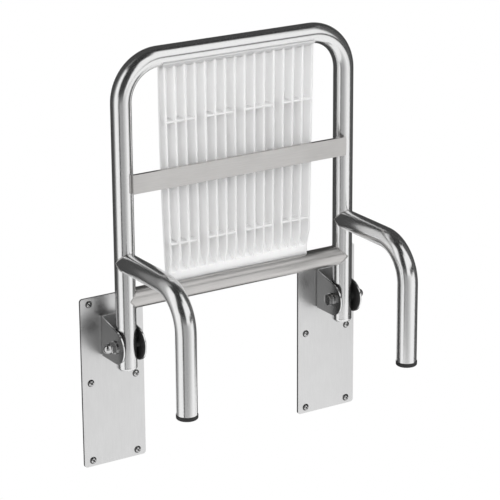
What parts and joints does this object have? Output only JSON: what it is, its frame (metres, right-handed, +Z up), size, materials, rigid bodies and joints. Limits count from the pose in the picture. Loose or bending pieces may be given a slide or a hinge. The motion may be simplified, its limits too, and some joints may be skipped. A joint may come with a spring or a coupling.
{
  "type": "fold down wall seat",
  "caption": "Wall seat with a bent steel tube frame, ribbed plastic panel and bent legs, hinged on wall plates and shown folded up.",
  "frame": {"origin": "middle of the four outer wall screws, in the wall plane behind the plates", "axes": "+X to the right along the wall, +Y into the wall, +Z up; the seat is folded up at rest"},
  "size_m": [0.51, 0.2918, 0.672],
  "materials": {
    "brushed_steel_plate": "brushed stainless steel sheet",
    "bright_fasteners": "bright stainless steel fasteners",
    "black_liner": "black low friction plastic",
    "pivot_bush": "turned steel",
    "polished_tube": "polished stainless steel tube",
    "satin_bar": "satin ground stainless steel",
    "foot_rubber": "black moulded rubber",
    "white_plastic": "white moulded plastic, slightly satin"
  },
  "bodies": {
    "wall_mount": {"left_wall_plate": "brushed_steel_plate", "right_wall_plate": "brushed_steel_plate", "left_hinge_bracket": "brushed_steel_plate", "right_hinge_bracket": "brushed_steel_plate", "left_wall_screws": "bright_fasteners", "right_wall_screws": "bright_fasteners", "left_pivot_bolt": "bright_fasteners", "right_pivot_bolt": "bright_fasteners", "left_bolt_washers": "bright_fasteners", "right_bolt_washers": "bright_fasteners", "left_cap_nut": "bright_fasteners", "right_cap_nut": "bright_fasteners", "left_outer_liner": "black_liner", "left_inner_liner": "black_liner", "right_outer_liner": "black_liner", "right_inner_liner": "black_liner"},
    "seat": {"left_pivot_bush": "pivot_bush", "right_pivot_bush": "pivot_bush", "frame_tube": "polished_tube", "left_tube_end": "polished_tube", "right_tube_end": "polished_tube", "rear_crossbar": "satin_bar", "middle_flat_bar": "satin_bar", "left_leg": "polished_tube", "right_leg": "polished_tube", "left_foot": "foot_rubber", "right_foot": "foot_rubber", "seat_panel": "white_plastic"}
  },
  "joints": [
    {"name": "seat_fold", "type": "hinge", "parent": "wall_mount", "child": "seat", "pos_m": [0, -0.049, 0.07], "axis": [1, 0, 0], "range_deg": [0, 85]}
  ]
}
